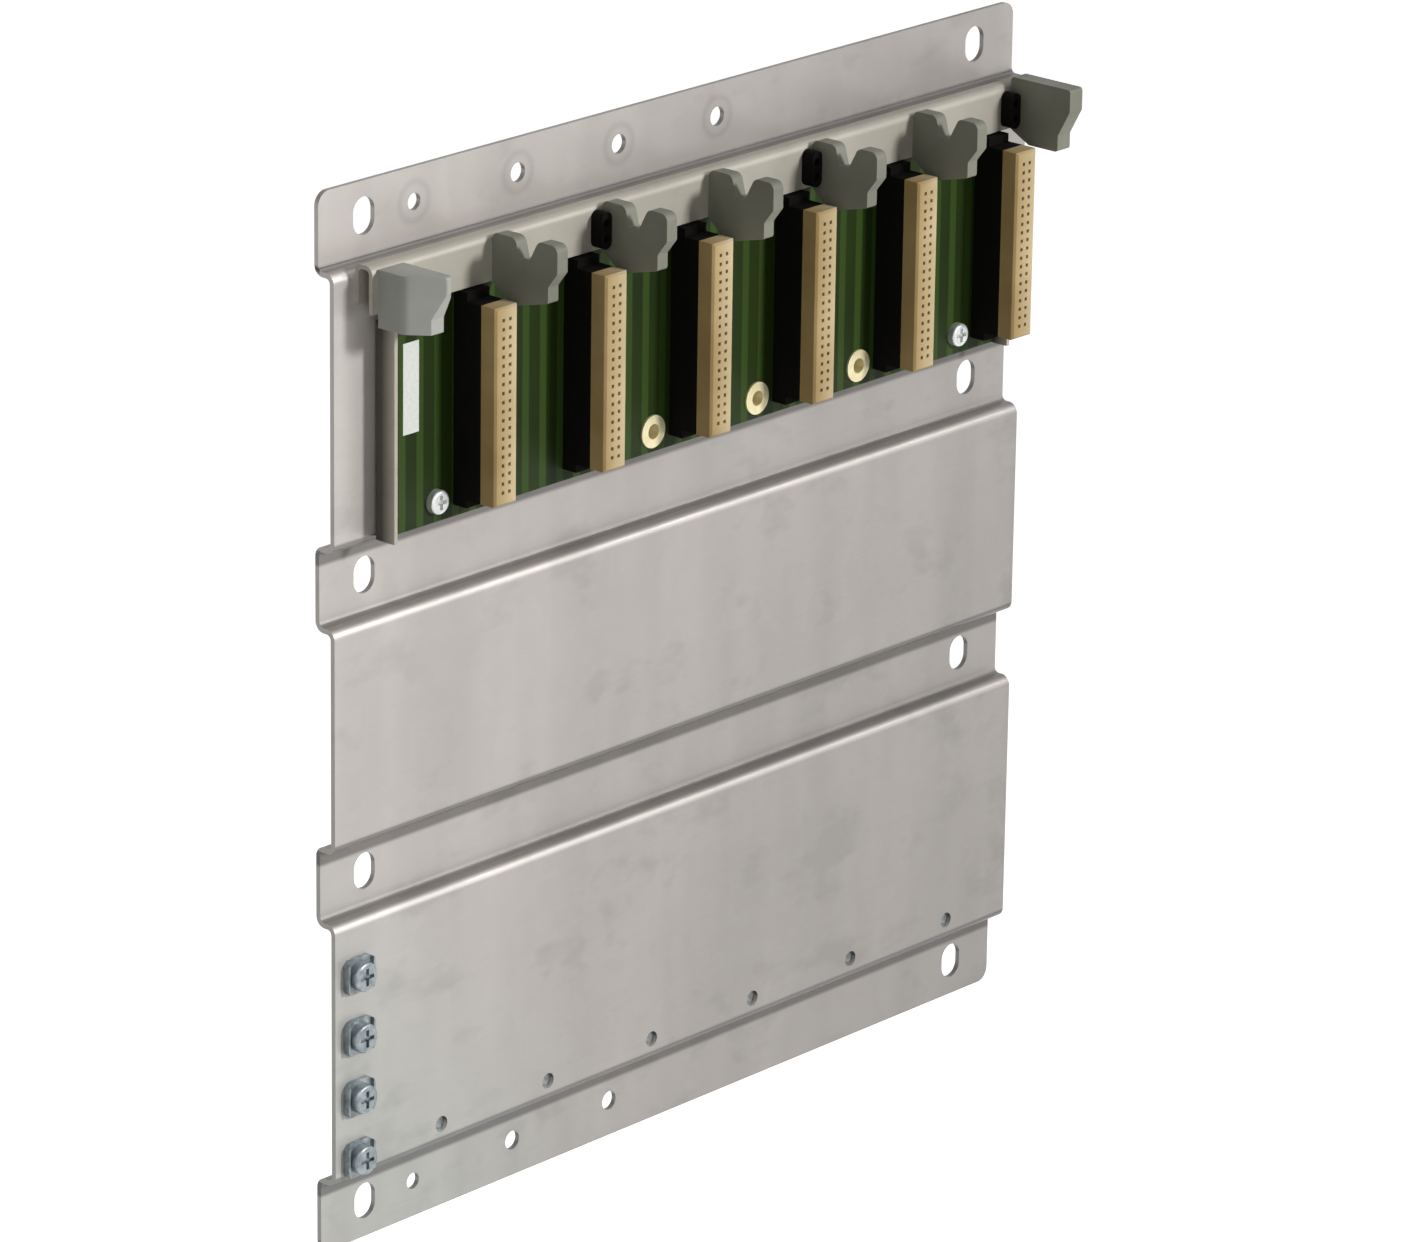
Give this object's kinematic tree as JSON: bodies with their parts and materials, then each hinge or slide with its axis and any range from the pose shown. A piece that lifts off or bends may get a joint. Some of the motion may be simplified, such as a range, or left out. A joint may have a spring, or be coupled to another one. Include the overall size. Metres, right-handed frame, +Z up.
{
  "type": "plc rack",
  "caption": "Wall-mounted module rack: a folded sheet-metal plate with a bus board, upright bus connectors and a row of plastic module guides",
  "frame": {"origin": "on the wall plane, at the middle of the plate's lower edge", "axes": "+Z up, +X to the right as seen from the front, -Y out of the wall towards the viewer; the rear faces of the four flanges lie at Y = 0"},
  "size_m": [0.283, 0.0374, 0.303],
  "materials": {
    "plated_sheet": "aluminium-zinc coated steel sheet, satin, faintly clouded",
    "tray_sheet": "yellow-passivated zinc plated sheet, satin",
    "rail_sheet": "pale beige-grey zinc plated sheet, satin",
    "zinc_nut": "zinc plated, dull",
    "zinc_screw": "blue-passivated zinc plated, semi-bright",
    "circuit_board": "dark green solder mask over woven glass laminate, satin",
    "label_film": "blank off-white label, matt",
    "dark_plastic": "moulded black plastic, fine matt grain",
    "connector_face": "moulded tan plastic, fine matt grain",
    "guide_plastic": "moulded grey plastic, fine matt grain",
    "gold_plate": "thin gold plating on a pressed eyelet"
  },
  "bodies": {
    "root": {"mounting_plate": "plated_sheet", "module_nuts": "zinc_nut", "earth_nuts": "zinc_nut", "tray_nuts": "zinc_nut", "board_spacers": "zinc_nut", "bus_tray": "tray_sheet", "guide_rail": "rail_sheet", "bus_board": "circuit_board", "board_label": "label_film", "connector_base_1": "dark_plastic", "connector_base_2": "dark_plastic", "connector_base_3": "dark_plastic", "connector_base_4": "dark_plastic", "connector_base_5": "dark_plastic", "connector_base_6": "dark_plastic", "connector_socket_1": "connector_face", "connector_socket_2": "connector_face", "connector_socket_3": "connector_face", "connector_socket_4": "connector_face", "connector_socket_5": "connector_face", "connector_socket_6": "connector_face", "guide_end_left": "guide_plastic", "guide_1": "guide_plastic", "guide_2": "guide_plastic", "guide_3": "guide_plastic", "guide_4": "guide_plastic", "guide_5": "guide_plastic", "guide_end_right": "guide_plastic", "guide_plug_1": "dark_plastic", "guide_plug_2": "dark_plastic", "guide_plug_3": "dark_plastic", "board_screw_left": "zinc_screw", "board_screw_right": "zinc_screw", "earth_screw_1": "zinc_screw", "earth_screw_2": "zinc_screw", "earth_screw_3": "zinc_screw", "earth_screw_4": "zinc_screw", "earth_washer_1": "zinc_screw", "earth_washer_2": "zinc_screw", "earth_washer_3": "zinc_screw", "earth_washer_4": "zinc_screw", "board_eyelet_1": "gold_plate", "board_eyelet_2": "gold_plate", "board_eyelet_3": "gold_plate"}
  },
  "joints": []
}
